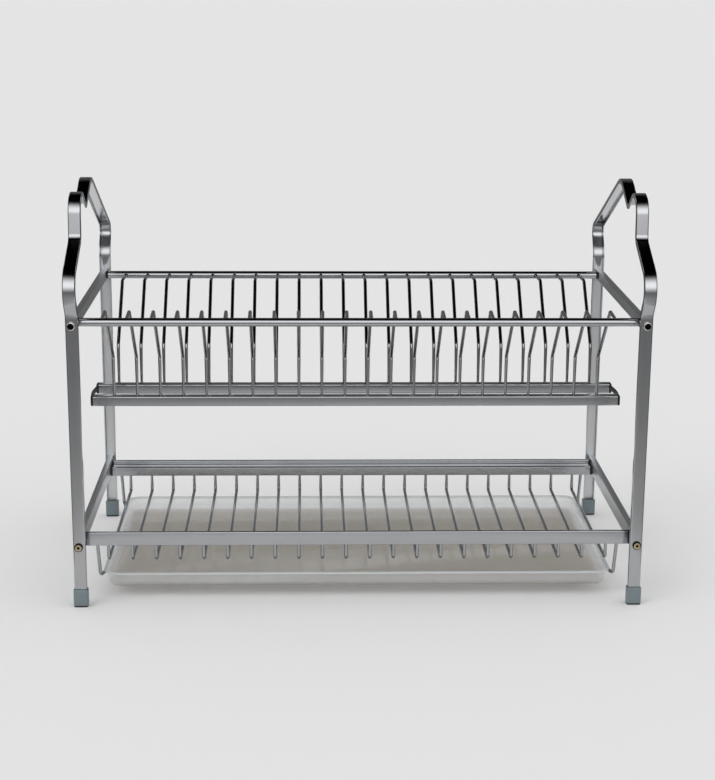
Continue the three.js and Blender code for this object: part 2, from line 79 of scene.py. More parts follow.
# %% [markdown]
# ## Camera
# The photograph was taken from a little above, with the lens of a short telephoto: the front and rear
# wires nearly line up, and the sides hardly spread. The place and the three angles were solved from the
# drainer's own straight lines. The lens is given for a sensor of 36 mm on the picture's long side.

# %% Camera
CAMERA_PLACE = (-0.0505, -1.7096, 0.6182)
CAMERA_HEADING, CAMERA_TILT, CAMERA_ROLL = -1.754, 14.33, 0.377
CAMERA_LENS, CAMERA_SENSOR = 78.97, 36

camera = add_object("camera", bpy.data.cameras.new("camera"))
bpy.context.scene.camera = camera
camera.data.lens = CAMERA_LENS
camera.data.sensor_width = CAMERA_SENSOR
camera.matrix_world = (
    Matrix.Translation(CAMERA_PLACE)
    @ Matrix.Rotation(math.radians(CAMERA_HEADING), 4, "Z")
    @ Matrix.Rotation(math.radians(90 - CAMERA_TILT), 4, "X")
    @ Matrix.Rotation(math.radians(CAMERA_ROLL), 4, "Z")
)
bpy.context.scene.view_settings.view_transform = "Standard"
print("camera: lens", CAMERA_LENS, "mm, tilted down by", CAMERA_TILT, "degrees")

# %% [markdown]
# ## Shapes
# Nearly everything here is a section on a path. A section is a list of corners that `rounded` eases, as
# an extrusion die or a file does. Real edges are never perfectly sharp, and the small radii are what
# catches the light. Subdivision could round them too, but arcs keep the exact sizes.

# %% Sections
ARC_STEP = math.radians(15)


def rounded(corners, radius):
    """An outline with an arc at each corner. Radius is one number, or one for each corner."""
    radii = radius if isinstance(radius, list) else [radius] * len(corners)
    points = []
    for i, corner in enumerate(corners):
        here = Vector(corner)
        before = (Vector(corners[i - 1]) - here).normalized()
        after = (Vector(corners[(i + 1) % len(corners)]) - here).normalized()
        half = before.angle(after) / 2
        centre = here + (before + after).normalized() * radii[i] / math.sin(half)
        start = here + before * radii[i] / math.tan(half) - centre
        finish = here + after * radii[i] / math.tan(half) - centre
        swing = start.angle_signed(finish)
        steps = max(2, math.ceil(abs(swing) / ARC_STEP))
        for k in range(steps + 1):
            points.append(centre + Matrix.Rotation(-swing * k / steps, 2) @ start)
    return points


def rectangle(width, height):
    """The corners of a centred rectangle, counterclockwise."""
    x, y = width / 2, height / 2
    return [(-x, -y), (x, -y), (x, y), (-x, y)]


def block(width, height, radius, inset=0):
    """A centred rectangle with round corners, drawn in by inset on every side."""
    return rounded(rectangle(width - 2 * inset, height - 2 * inset), radius - inset)


def circle(radius, sides):
    """A round outline, counterclockwise."""
    turns = [2 * math.pi * i / sides for i in range(sides)]
    return [Vector((radius * math.cos(turn), radius * math.sin(turn))) for turn in turns]


print("points in an eased rectangle:", len(block(12, 5, 1)))
# %% [markdown]
# A shape is a skin over rings of points: the section's ring at each station of a path. A station says
# where it is and which way the section's two axes point. A pipe is a skin that runs out along the outside
# and comes back along the bore.

# %% Skins and sweeps
def skin(rings, closed=False):
    """Vertices and faces over rings of points. A closed skin joins its last ring to its first."""
    count = len(rings[0])
    vertices = [point for ring in rings for point in ring]
    total = len(vertices)
    faces = [] if closed else [tuple(reversed(range(count))), tuple(range(total - count, total))]
    for low in range(0, total if closed else total - count, count):
        high = (low + count) % total
        for i in range(count):
            j = (i + 1) % count
            faces.append((low + i, low + j, high + j, high + i))
    return vertices, faces


def section_rings(section, stations):
    """The section's points at each station."""
    return [[place + across * p[0] + out * p[1] for p in section] for place, across, out in stations]


def straight(section, axis, start, finish, centre, bore=None):
    """A straight length along X, Y or Z. Centre is the section's middle in the other two axes."""
    across, out = {"X": (Y, Z), "Y": (Z, X), "Z": (X, Y)}[axis]
    along = {"X": X, "Y": Y, "Z": Z}[axis]
    base = across * centre[0] + out * centre[1]
    stations = [(base + along * reach, across, out) for reach in (start, finish)]
    rings = section_rings(section, stations)
    if bore:
        return skin(rings + section_rings(bore, stations)[::-1], closed=True)
    return skin(rings)


def turned(profile, sides):
    """A turned shape round Z, from (radius, height) pairs that start and end on the axis."""
    vertices, faces, rings = [], [], []
    for radius, height in profile:
        if radius == 0:
            rings.append([len(vertices)] * sides)
            vertices.append(Vector((0, 0, height)))
        else:
            rings.append(list(range(len(vertices), len(vertices) + sides)))
            vertices += [Vector((p.x, p.y, height)) for p in circle(radius, sides)]
    for low, high in zip(rings, rings[1:]):
        for i in range(sides):
            j = (i + 1) % sides
            faces.append(tuple(dict.fromkeys([low[i], low[j], high[j], high[i]])))
    return vertices, faces


print("faces in a straight tube:", len(straight(circle(5, 40), "X", 0, 10, (0, 0), circle(4, 40))[1]))
# %% [markdown]
# Drawn wire is bent round pins, so its line is straight stretches with a true arc at each corner, and a
# round section follows it. A bevelled curve would do too, but its corners would be drawn all the same.

# %% Bent wire
WIRE_STEP, WIRE_SIDES, CUT_SHARE = math.radians(9), 14, 0.75


def bent(corners, radii):
    """Points and directions along straight stretches with a true arc at each inner corner."""
    points = [(corners[0], (corners[1] - corners[0]).normalized())]
    for i in range(1, len(corners) - 1):
        before = (corners[i] - corners[i - 1]).normalized()
        after = (corners[i + 1] - corners[i]).normalized()
        swing = before.angle(after)
        axis = before.cross(after).normalized()
        start = corners[i] - before * radii[i - 1] * math.tan(swing / 2)
        centre = start + axis.cross(before) * radii[i - 1]
        steps = max(2, math.ceil(swing / WIRE_STEP))
        for k in range(steps + 1):
            turn = Matrix.Rotation(swing * k / steps, 3, axis)
            points.append((centre + turn @ (start - centre), turn @ before))
    points.append((corners[-1], (corners[-1] - corners[-2]).normalized()))
    return points


def wire(corners, radii, radius):
    """A round wire along a bent line. Its two cut ends are filed a little thinner."""
    stations = []
    across = X
    for place, along in bent(corners, radii):
        across = (across - along * across.dot(along)).normalized()
        stations.append((place, across, along.cross(across)))
    rings = section_rings(circle(radius, WIRE_SIDES), stations)
    for k in (0, -1):
        place = stations[k][0]
        rings[k] = [place + (point - place) * CUT_SHARE for point in rings[k]]
    return skin(rings)


print("faces in a wire with one bend:", len(wire([Y * 0, Y * 50, Y * 50 + Z * 20], [5], 2)[1]))
# %% [markdown]
# ## From shapes to pieces
# A piece is one Blender mesh made of one or more closed shapes. It hides its CAD node and takes its
# place, rides on the same body and takes the material of its finish. Faces are smooth, and only edges that
# turn by more than about 30 degrees stay crisp, which is how a sawn end looks next to a drawn surface.

# %% Pieces
CRISP = math.radians(32)
OVERSHOOT = 1
pieces = []


def to_object(name, shapes):
    """A Blender object in metres from shapes in millimetres."""
    vertices, faces = [], []
    for shape_vertices, shape_faces in shapes:
        first = len(vertices)
        vertices += [v * MM for v in shape_vertices]
        faces += [tuple(first + i for i in face) for face in shape_faces]
    mesh = bpy.data.meshes.new(name)
    mesh.from_pydata(vertices, [], faces)
    mesh.validate()
    work = bmesh.new()
    work.from_mesh(mesh)
    bmesh.ops.recalc_face_normals(work, faces=work.faces)
    work.to_mesh(mesh)
    work.free()
    return add_object(name, mesh)


def carve(thing, cutters):
    """Cuts closed shapes out of an object, such as drilled holes."""
    cutter = to_object("cutter", cutters)
    step = thing.modifiers.new("Cut", "BOOLEAN")
    step.object = cutter
    step.solver = "EXACT"
    seen = thing.evaluated_get(bpy.context.evaluated_depsgraph_get())
    made = bpy.data.meshes.new_from_object(seen)
    thing.modifiers.clear()
    thing.data = made
    bpy.data.objects.remove(cutter)


def finish_edges(thing):
    """Smooth faces, with crisp edges where the surface turns sharply."""
    work = bmesh.new()
    work.from_mesh(thing.data)
    for face in work.faces:
        face.smooth = True
    for edge in work.edges:
        edge.smooth = edge.calc_face_angle(0) < CRISP
    work.to_mesh(thing.data)
    work.free()


def enrol(thing, materials, node, body="rack"):
    """Gives a piece its materials, hides the CAD node it stands for and puts it on its body."""
    for material in materials:
        thing.data.materials.append(material)
    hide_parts(node)
    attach(thing, body)
    pieces.append(thing)
    print(f"{thing.name}: {len(thing.data.polygons)} faces")


def make_piece(name, shapes, materials, node, body="rack", cuts=()):
    """Makes a piece of closed shapes. Each cut is a list of shapes that are taken out together."""
    thing = to_object(name, shapes)
    for cutters in cuts:
        carve(thing, cutters)
    finish_edges(thing)
    thing.data.materials.clear()
    enrol(thing, materials, node, body)
    return thing


# %% [markdown]
# ## Materials
# A shader takes linear light, while colours are easiest to read as sRGB hex, so one function turns them.
# Others add nodes with their settings and links. All patterns use object coordinates, which are metres
# in the drainer's own frame, so a size in millimetres is the same on every piece.

# %% Colour and nodes
def linear(code):
    """The linear colour of an sRGB hex value such as #E4E4E4."""
    shares = [int(code[i:i + 2], 16) / 255 for i in (1, 3, 5)]
    return tuple(s / 12.92 if s <= 0.04045 else ((s + 0.055) / 1.055) ** 2.4 for s in shares) + (1,)


def add_node(tree, kind, settings=None, inputs=None):
    """Adds a node, sets its properties, and fills or links its inputs."""
    node = tree.nodes.new(kind)
    for name, value in (settings or {}).items():
        setattr(node, name, value)
    for name, value in (inputs or {}).items():
        if isinstance(value, bpy.types.NodeSocket):
            tree.links.new(value, node.inputs[name])
        else:
            node.inputs[name].default_value = value
    return node


def calculate(tree, operation, *values):
    """The result of a math node."""
    return add_node(tree, "ShaderNodeMath", {"operation": operation}, dict(enumerate(values))).outputs[0]


def object_place(tree):
    """The place on the object, in metres."""
    return add_node(tree, "ShaderNodeTexCoord").outputs["Object"]


def new_material(name, values):
    """A material with its Principled shader's own sockets set."""
    material = bpy.data.materials.new(name)
    material.use_nodes = True
    tree = material.node_tree
    shader = tree.nodes["Principled BSDF"]
    for socket, value in values.items():
        shader.inputs[socket].default_value = value
    return material, tree, shader


print("#808080 is", round(linear("#808080")[0], 3), "in linear light")
# %% [markdown]
# No real surface is quite even. A soft noise varies a colour or a roughness by a few hundredths. Most of
# the noise lies between 0.3 and 0.7, so that range is what gets spread over the wanted one.

# %% Patterns
NOISE_LOW, NOISE_HIGH, NOISE_DETAIL, FINE_RELIEF = 0.3, 0.7, 2.0, 0.1


def pattern(tree, sizes):
    """A soft random pattern with grains of the given sizes along X, Y and Z, in millimetres."""
    scale = tuple(1 / (size * MM) for size in sizes)
    scaled = add_node(tree, "ShaderNodeMapping", None, {"Vector": object_place(tree), "Scale": scale})
    inputs = {"Vector": scaled.outputs["Vector"], "Scale": 1.0, "Detail": NOISE_DETAIL}
    return add_node(tree, "ShaderNodeTexNoise", None, inputs).outputs["Fac"]


def between(tree, value, low, high, start=NOISE_LOW, finish=NOISE_HIGH):
    """A value from the range of start to finish, spread over the range from low to high."""
    inputs = {"Value": value, "From Min": start, "From Max": finish, "To Min": low, "To Max": high}
    return add_node(tree, "ShaderNodeMapRange", None, inputs).outputs["Result"]


def tinted(tree, value, dark, light):
    """A colour that runs from dark to light with a pattern."""
    inputs = {0: value, 6: linear(dark), 7: linear(light)}
    return add_node(tree, "ShaderNodeMix", {"data_type": "RGBA"}, inputs).outputs[2]


def surface(name, fixed, dark, light, cloud, grain, roughness, spread, bump):
    """A material with a cloudy colour, whose grain varies its roughness and its relief."""
    material, tree, shader = new_material(name, fixed)
    grains, clouds = pattern(tree, grain), pattern(tree, [cloud] * 3)
    tree.links.new(tinted(tree, clouds, dark, light), shader.inputs["Base Color"])
    tree.links.new(between(tree, grains, roughness - spread, roughness + spread), shader.inputs["Roughness"])
    relief = {"Height": grains, "Strength": bump, "Distance": FINE_RELIEF * MM}
    tree.links.new(add_node(tree, "ShaderNodeBump", None, relief).outputs["Normal"], shader.inputs["Normal"])
    return material


print("noise from", NOISE_LOW, "to", NOISE_HIGH, "is spread over the wanted range")
# %% [markdown]
# ### Anodised aluminium
# All the metal here is 6063 aluminium, extruded or drawn and then anodised clear. Extruding leaves fine
# lines along the length, which smear a reflection along them. They are finer than 0.1 mm on the real
# profile and about ten times coarser here so that they show. The bent channel is polished before it is
# anodised, so it mirrors the room in black and white bands. Rails, tubes and bars are etched first and
# stay satin. Aluminium is bare metal to the eye, so metallic is 1.

# %% Anodised aluminium
LINE_LENGTH, LINE_WIDTH = 60, 1.1
ALONG_X = (LINE_LENGTH, LINE_WIDTH, LINE_WIDTH)
ALONG_Y = (LINE_WIDTH, LINE_LENGTH, LINE_WIDTH)
ALONG_BENDS = (LINE_WIDTH, LINE_LENGTH, LINE_LENGTH)
WIRE_GRAIN, METAL_CLOUD = (3, 12, 12), 35


def aluminium(name, dark, light, roughness, spread, lines, bump):
    """Aluminium with fine lines from drawing."""
    return surface(name, {"Metallic": 1.0}, dark, light, METAL_CLOUD, lines, roughness, spread, bump)


channel_metal = aluminium("aluminium_channel_polished", "#ADAFB2", "#B9BABC", 0.14, 0.04, ALONG_BENDS, 0.08)
rail_metal = aluminium("aluminium_extrusion_satin", "#ADAFB2", "#B6B8BB", 0.18, 0.04, ALONG_X, 0.1)
side_rail_metal = aluminium("aluminium_side_rail_satin", "#D2D4D6", "#DCDEE0", 0.36, 0.06, ALONG_Y, 0.1)
inside_metal = aluminium("aluminium_channel_inside", "#D8DADC", "#E2E4E6", 0.42, 0.06, ALONG_BENDS, 0.1)
wire_metal = aluminium("aluminium_wire_drawn", "#A3A5A8", "#B1B3B6", 0.11, 0.03, WIRE_GRAIN, 0.05)
print("drawing lines:", LINE_WIDTH, "mm wide and", LINE_LENGTH, "mm long")

# %% [markdown]
# ### Plastics
# The plugs and end pieces are black moulded ABS with a fine spark-eroded grain. The foot caps are a
# blue-grey soft PVC, which is why they look a little waxy. Both come straight from a steel mould, so
# there are no lines, only a faint unevenness, and both have the usual IOR of plastics, about 1.5.

# %% Plastics
PLASTIC_CLOUD, PLASTIC_SPREAD = 9, 0.06


def moulded(name, dark, light, roughness, grain, bump, ior):
    """Moulded plastic with a fine grain in its surface."""
    return surface(name, {"IOR": ior}, dark, light, PLASTIC_CLOUD, [grain] * 3, roughness,
                   PLASTIC_SPREAD, bump)


black_abs = moulded("abs_black_moulded", "#0D0E0F", "#151617", 0.34, 0.7, 0.25, 1.53)
foot_pvc = moulded("pvc_blue_grey_moulded", "#6C787D", "#78858A", 0.38, 0.9, 0.15, 1.52)
print("moulded plastics:", black_abs.name, "and", foot_pvc.name)

# %% [markdown]
# ### Smoky polystyrene
# The tray is clear polystyrene with a little grey-brown in it, moulded thin. In a sheet of a millimetre
# and a half light hardly bends, so alpha lets a share of it straight through each surface, and the shadow
# stays light too. The rest is scattered in the smoke. The floor is darker, warmer and denser than the
# walls. The flange is denser still, which is a painted highlight that draws a light line along the rim.
# Where a wall turns away from the eye more plastic lies behind it, so it looks denser.

# %% Smoky polystyrene
FLOOR_BLEND_FROM, FLOOR_BLEND_TO, RIM_START, RIM_BLEND = 11.5, 14.5, 24, 0.5
FLOOR_ALPHA, WALL_ALPHA, RIM_HIGHLIGHT_ALPHA, EDGE_ALPHA, EDGE_POWER = 0.36, 0.2, 0.45, 0.55, 4.0
TRAY_FLOOR_COLOUR, WALL_COLOUR = "#BCB5A9", "#EEF1F3"
HAZE_GRAIN, TRAY_ROUGHNESS = 5, (0.07, 0.13)


def smoky_tray():
    """Clear plastic that dims what is behind it."""
    material, tree, shader = new_material("polystyrene_smoky_clear", {"IOR": 1.59, "Coat Weight": 0.6})
    height = add_node(tree, "ShaderNodeSeparateXYZ", None, {0: object_place(tree)}).outputs["Z"]
    wall = between(tree, height, 0.0, 1.0, FLOOR_BLEND_FROM * MM, FLOOR_BLEND_TO * MM)
    # Painted highlight: the flange is denser than the walls, so a light line runs along the rim.
    rim = between(tree, height, 0.0, RIM_HIGHLIGHT_ALPHA - WALL_ALPHA, (RIM_START - RIM_BLEND) * MM, RIM_START * MM)
    tree.links.new(tinted(tree, wall, TRAY_FLOOR_COLOUR, WALL_COLOUR), shader.inputs["Base Color"])
    dimmed = calculate(tree, "ADD", between(tree, wall, FLOOR_ALPHA, WALL_ALPHA, 0.0, 1.0), rim)
    facing = add_node(tree, "ShaderNodeLayerWeight", None, {"Blend": 0.5}).outputs["Facing"]
    turned_away = calculate(tree, "POWER", facing, EDGE_POWER)
    alpha = calculate(tree, "MULTIPLY_ADD", turned_away, EDGE_ALPHA, dimmed)
    tree.links.new(alpha, shader.inputs["Alpha"])
    haze = pattern(tree, [HAZE_GRAIN] * 3)
    tree.links.new(between(tree, haze, *TRAY_ROUGHNESS), shader.inputs["Roughness"])
    return material


tray_plastic = smoky_tray()
print("tray:", tray_plastic.name, "whose floor is denser by", round(FLOOR_ALPHA - WALL_ALPHA, 2))

# %% [markdown]
# ### Blackened steel
# The screws are pan heads in blackened steel. The black is a thin oxide that still shines like metal
# where the head is round, so it is a dark metal and not a paint. Upper heads have a bright ring round the
# rim, which is a painted highlight on the rolled edge. The lower ones have a bronze ring, which is the
# colour of a thinner oxide.

# %% Blackened steel
STEEL_GRAIN, STEEL_ROUGHNESS = 1.2, (0.24, 0.36)


def oxidised_steel(name, dark, light):
    """Steel whose oxide makes small uneven patches."""
    material, tree, shader = new_material(name, {"Metallic": 1.0})
    patches = pattern(tree, [STEEL_GRAIN] * 3)
    tree.links.new(tinted(tree, patches, dark, light), shader.inputs["Base Color"])
    tree.links.new(between(tree, patches, *STEEL_ROUGHNESS), shader.inputs["Roughness"])
    return material


screw_steel = oxidised_steel("steel_blackened", "#101010", "#22201F")
# Painted highlight: the bright ring on the rolled rim of the upper heads.
rim_highlight_steel = oxidised_steel("steel_rim_painted_highlight", "#D4D4D4", "#E6E6E6")
bronze_steel = oxidised_steel("steel_bronzed", "#B5A584", "#CDBD9B")
print("materials:", sorted(material.name for material in bpy.data.materials))

# %% [markdown]
# ## Side frames
# One length of channel makes front leg, handle and rear leg. The fabricator bends it round formers, so
# its outline is straight stretches between arcs, like a belt that runs round pulleys on either side. The
# path is worked out that way: each former has a middle, a radius and the side that the belt passes.

# %% The handle's line
LEG_FACE, LEG_FOOT, LEG_BEND, REAR_LEG_BEND = 141, 3.3, 11, 18
HANDLE_REACH, HANDLE_BASE, HANDLE_HEIGHT = 153, 285, 115.5
BULGE, PEAK, REAR_BEND = 24, 30, 13
BULGE_RISE, REAR_BEND_RISE, REAR_LEG_RISE, PEAK_SHARE = 0.242, 0.327, 0.098, -0.02
# Neck, hump and valley: shares of the handle's reach and height, then radius and side.
FINGER_BENDS = ((-0.696, 0.649, 8, 1), (-0.503, 0.788, 20, -1), (-0.317, 0.896, 7, 1))
BEND_STEP = math.radians(4)


def risen(share):
    """A height on the handle, from a share of the handle's own height."""
    return HANDLE_BASE + share * HANDLE_HEIGHT


# (y, z, radius, side) of each bending former, from the front foot to the rear foot.
formers = [
    (-LEG_FACE, LEG_FOOT, 0, 1),
    (-LEG_FACE - LEG_BEND, HANDLE_BASE, LEG_BEND, 1),
    (BULGE - HANDLE_REACH, risen(BULGE_RISE), BULGE, -1),
    *[(share * HANDLE_REACH, risen(rise), radius, side) for share, rise, radius, side in FINGER_BENDS],
    (PEAK_SHARE * HANDLE_REACH, risen(1) - PEAK, PEAK, -1),
    (HANDLE_REACH - REAR_BEND, risen(REAR_BEND_RISE), REAR_BEND, -1),
    (LEG_FACE + REAR_LEG_BEND, risen(REAR_LEG_RISE), REAR_LEG_BEND, 1),
    (LEG_FACE, LEG_FOOT, 0, 1),
]


def belt(circles):
    """Points on a belt round circles, with the direction out of the belt at each."""
    normals = []
    for (y0, z0, r0, turn0), (y1, z1, r1, turn1) in zip(circles, circles[1:]):
        span = Vector((y1 - y0, z1 - z0))
        lean = (turn1 * r1 - turn0 * r0) / span.length
        side = math.sqrt(1 - lean * lean)
        span.normalize()
        normals.append(Vector((span.x * lean - span.y * side, span.y * lean + span.x * side)))
    path = []
    for i, (y, z, radius, turn) in enumerate(circles):
        first, last = normals[max(i - 1, 0)], normals[min(i, len(normals) - 1)]
        start = math.atan2(first.y, first.x)
        swing = math.atan2(first.x * last.y - first.y * last.x, first.dot(last))
        steps = math.ceil(abs(swing) / BEND_STEP)
        for k in range(steps + 1):
            angle = start + (swing * k / steps if steps else 0)
            out = Vector((0, math.cos(angle), math.sin(angle)))
            path.append((Vector((0, y, z)) - out * turn * radius, out))
    return path


handle_line = belt(formers)
print("handle line:", len(handle_line), "points, top at", round(max(p.z for p, _ in handle_line), 1), "mm")

# %% [markdown]
# The channel's section is a flat web with two short flanges that point inwards. Its outer corners have a
# radius of about a millimetre and the inner ones half of that, as an extrusion die leaves them. Inside
# the legs the wheel doesn't reach, so the metal there is as dull and as pale as it came from the press.

# %% Side frames
CHANNEL_DEPTH, CHANNEL_WALL = 5, 1.2
WEB_ROUND, LIP_ROUND, INNER_ROUND = 1.2, 0.35, 0.5
SCREW_SHANK, HOLE_GAP, HOLE_SIDES = 1.5, 0.3, 24
FACES_MIDDLE = 0.5
screw_hole = circle(SCREW_SHANK + HOLE_GAP, HOLE_SIDES)


def channel_section(width):
    """The channel across its path: web at the top, open side down."""
    half, inner = width / 2, width / 2 - CHANNEL_WALL
    corners = [
        (-half, -CHANNEL_DEPTH), (-inner, -CHANNEL_DEPTH), (-inner, -CHANNEL_WALL),
        (inner, -CHANNEL_WALL), (inner, -CHANNEL_DEPTH), (half, -CHANNEL_DEPTH),
        (half, 0), (-half, 0),
    ]
    return rounded(corners, [LIP_ROUND] * 2 + [INNER_ROUND] * 2 + [LIP_ROUND] * 2 + [WEB_ROUND] * 2)


def screw_places(side):
    """(node, row, end, place) of the four screws of one side, at the outer face of the web."""
    places = []
    for row in ("upper", "lower"):
        for end in ENDS:
            node = f"screw_{row}_{ENDS[end]}_{SIDES[side]}"
            low, high = box(node)
            middle = (low + high) / 2
            places.append((node, row, end, Vector((middle.x, end * LEG_FACE, middle.z))))
    return places


for side in SIDES:
    node = f"{SIDES[side]}_side_frame"
    low, high = box(node)
    stations = [(place + X * (low.x + high.x) / 2, -X, out) for place, out in handle_line]
    channel = skin(section_rings(channel_section(high.x - low.x), stations))
    drilled = [straight(screw_hole, "Y", p.y - 2 * CHANNEL_WALL, p.y + 2 * CHANNEL_WALL, (p.z, p.x))
               for *_, p in screw_places(side)]
    made = make_piece(f"side_frame_{SIDES[side]}", [channel], [channel_metal, inside_metal],
                      node, cuts=[drilled])
    for polygon in made.data.polygons:
        toward_middle = -polygon.normal.y * math.copysign(1, polygon.center.y)
        if polygon.center.z < HANDLE_BASE * MM and toward_middle > FACES_MIDDLE:
            polygon.material_index = 1

# %% [markdown]
# ## Foot caps
# A foot cap is a small PVC cup that is pushed over the end of the leg. Its mouth is a slot of the leg's
# size, and its outer edges are eased so that it doesn't scratch. The sole has a shallow step, which lifts
# the visible wall off the worktop. The faces below the step's top are black as painted shade: the contact
# shadow that makes a dark strip below each cap.

# %% Foot caps
FOOT_CORNER, FOOT_EASE, LOWER_EASE, FOOT_FLOOR = 2, 0.8, 0.4, 3
SOLE_HEIGHT, SOLE_STEP, POCKET_CORNER = 1.5, 0.4, 0.6
FOOT_TURNS = [math.radians(22.5 * k) for k in range(5)]


def foot_shape(low, high):
    """A cap with a stepped sole, a small round above the step and a larger one at its mouth."""
    middle, size = (low + high) / 2, high - low
    levels = [(SOLE_STEP, 0), (SOLE_STEP, SOLE_HEIGHT)]
    levels += [(LOWER_EASE * (1 - math.sin(t)), SOLE_HEIGHT + LOWER_EASE * (1 - math.cos(t)))
               for t in FOOT_TURNS]
    levels += [(FOOT_EASE * (1 - math.cos(t)), size.z - FOOT_EASE * (1 - math.sin(t))) for t in FOOT_TURNS]
    return skin([
        [Vector((middle.x + p.x, middle.y + p.y, z)) for p in block(size.x, size.y, FOOT_CORNER, inset)]
        for inset, z in levels
    ])


for side in SIDES:
    leg_low, leg_high = box(f"{SIDES[side]}_side_frame")
    slot = block(leg_high.x - leg_low.x + 2 * HOLE_GAP, CHANNEL_DEPTH + 2 * HOLE_GAP, POCKET_CORNER)
    for end in ENDS:
        corner = f"{ENDS[end]}_{SIDES[side]}"
        low, high = box(f"foot_cap_{corner}")
        middle = (low + high) / 2
        pocket = straight(slot, "Z", FOOT_FLOOR, high.z + OVERSHOOT, (middle.x, middle.y))
        foot = make_piece(f"foot_{corner}", [foot_shape(low, high)], [foot_pvc, black_abs],
                          f"foot_cap_{corner}", cuts=[[pocket]])
        # Painted shade: the faces below the sole's top are black, for the contact shadow under the cap.
        for polygon in foot.data.polygons:
            if polygon.center.z < SOLE_HEIGHT * MM:
                polygon.material_index = 1

# %% [markdown]
# ## Side rails
# Two solid flat bars on each side join the front leg to the rear leg inside the channel. They are plain
# extruded flats with eased edges, so a rounded rectangle along Y is all they need.

# %% Side rails
SIDE_RAIL_ROUND = 0.8

for side in SIDES:
    for row in ("upper", "lower"):
        node = f"{row}_side_rail_{SIDES[side]}"
        low, high = box(node)
        middle, size = (low + high) / 2, high - low
        section = block(size.z, size.x, SIDE_RAIL_ROUND)
        shape = straight(section, "Y", low.y, high.y, (middle.z, middle.x))
        make_piece(f"side_rail_{row}_{SIDES[side]}", [shape], [side_rail_metal], node)

# %% [markdown]
# ## Upper tubes
# The two tubes carry the ends of the plate wires. Each wire goes into a drilled hole in the side that
# faces the rack, and a round black plug closes each end of the tube. A plug has a pin that reaches into
# the side rail, a flange that shows, and a spigot that fits the tube. The CAD wires have six sides, so
# their boxes are a little lower than the round wire.

# %% Upper tubes and their plugs
TUBE_WALL, TUBE_SIDES = 1, 40
PIN_RADIUS, PIN_SIDES, PIN_LENGTH = 1.5, 16, 3.3
FLANGE_END, PLUG_EDGE, PLUG_GAP = 5, 0.3, 0.3
WIRE_HOLE_SIDES = 20
HEX_SHARE = math.cos(math.pi / 6)
WIRE_COUNT = sum(name.startswith("lower_wire_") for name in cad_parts)
wire_boxes = [box(f"lower_wire_{i + 1:02d}") for i in range(WIRE_COUNT)]
WIRE_RADIUS = (wire_boxes[0][1].x - wire_boxes[0][0].x) / 2
wire_x = [(low.x + high.x) / 2 for low, high in wire_boxes]
hole_outline = circle(WIRE_RADIUS + HOLE_GAP, WIRE_HOLE_SIDES)

for end in ENDS:
    node = f"upper_{ENDS[end]}_tube"
    low, high = box(node)
    middle, radius = (low + high) / 2, (high.z - low.z) / 2
    outer, bore = circle(radius, TUBE_SIDES), circle(radius - TUBE_WALL, TUBE_SIDES)
    shape = straight(outer, "X", low.x, high.x, (middle.y, middle.z), bore)
    reach = sorted((middle.y, middle.y - end * (radius + OVERSHOOT)))
    holes = [straight(hole_outline, "Y", *reach, (middle.z, x)) for x in wire_x]
    make_piece(f"tube_{ENDS[end]}", [shape], [rail_metal], node, cuts=[holes])
    for side in SIDES:
        corner = f"{ENDS[end]}_{SIDES[side]}"
        outer_x, inner_x = x_ends(f"tube_plug_{corner}", side)
        spigot, length = radius - TUBE_WALL - PLUG_GAP, abs(outer_x - inner_x)
        profile = [(0, 0), (PIN_RADIUS, 0), (PIN_RADIUS, PIN_LENGTH), (radius - PLUG_EDGE, PIN_LENGTH),
                   (radius, PIN_LENGTH + PLUG_EDGE), (radius, FLANGE_END - PLUG_EDGE),
                   (radius - PLUG_EDGE, FLANGE_END), (spigot, FLANGE_END), (spigot, length), (0, length)]
        vertices, faces = turned(profile, TUBE_SIDES)
        vertices = [Vector((outer_x - side * v.z, middle.y + v.x, middle.z + v.y)) for v in vertices]
        make_piece(f"plug_tube_{corner}", [(vertices, faces)], [black_abs],
                   f"tube_plug_{corner}")

# %% [markdown]
# ## Lower rails
# The lower rails are a hollow extrusion. On its outer side a lip stands up above the ledge, with a groove
# behind it: it keeps a cup from sliding off. The wires come up through holes drilled in its underside.

# %% Lower rails and their plugs
LEDGE, LIP, LIP_THICKNESS = 9.5, 14, 3
GROOVE_WIDTH, GROOVE_DEPTH = 1.4, 1.5
RAIL_WALL, RAIL_ROUND, RAIL_FILLET, LIP_EASE = 1.4, 0.8, 0.35, 1.4
HOLLOW_ROUND, SPIGOT_ROUND = 0.4, 0.3
HOLLOW_HEIGHT = LEDGE - GROOVE_DEPTH - 2 * RAIL_WALL
RAIL_RADII = [RAIL_ROUND] * 2 + [LIP_EASE] * 2 + [RAIL_FILLET] * 3 + [RAIL_ROUND]


def lower_rail_section(end, depth):
    """The stepped section, with its lip on the outer side."""
    half = depth / 2
    lip_inner = half - LIP_THICKNESS
    ledge_end = lip_inner - GROOVE_WIDTH
    corners = [
        (-half, 0), (half, 0), (half, LIP), (lip_inner, LIP), (lip_inner, LEDGE - GROOVE_DEPTH),
        (ledge_end, LEDGE - GROOVE_DEPTH), (ledge_end, LEDGE), (-half, LEDGE),
    ]
    return [Vector((end * p.x, p.y)) for p in rounded(corners, RAIL_RADII)]


